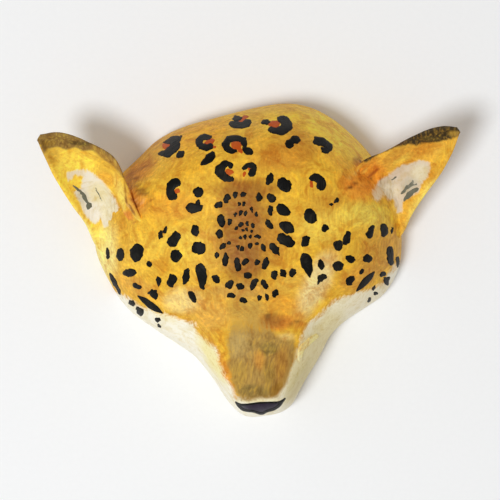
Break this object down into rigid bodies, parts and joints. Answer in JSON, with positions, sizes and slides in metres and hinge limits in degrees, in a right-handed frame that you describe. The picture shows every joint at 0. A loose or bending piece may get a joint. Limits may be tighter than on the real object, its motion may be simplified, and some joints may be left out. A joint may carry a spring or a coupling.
{
  "type": "folk art mask",
  "caption": "Painted papier-mache leopard face mask with a domed forehead, a tapering muzzle and cupped pasted-on ears, lying face up on its flat rim.",
  "frame": {"origin": "under the middle of the mask's box, on the surface its flat rim lies on", "axes": "+Z out of the face, +Y from muzzle to crown, +X to the right of someone looking at the face, ear tip to ear tip"},
  "size_m": [0.2834, 0.2194, 0.094],
  "materials": {
    "shell_paint": "hand-painted acrylic over layered paper, satin varnish",
    "ear_paint": "hand-painted acrylic over layered paper, satin varnish",
    "strip_paint": "hand-painted acrylic over pasted paper strips, satin varnish",
    "kraft_paper": "bare pasted kraft paper, matte",
    "loop_wire": "galvanised wire, dull"
  },
  "bodies": {
    "root": {"face_shell": "shell_paint", "left_ear": "ear_paint", "right_ear": "ear_paint", "left_ear_front_strip": "strip_paint", "right_ear_front_strip": "strip_paint", "left_ear_back_strip": "strip_paint", "right_ear_back_strip": "strip_paint", "muzzle_crease_strip": "strip_paint", "rim_band_crown": "kraft_paper", "rim_band_left": "kraft_paper", "rim_band_right": "kraft_paper", "rim_band_muzzle": "kraft_paper", "hanging_patch": "kraft_paper", "hanging_loop": "loop_wire"}
  },
  "joints": []
}
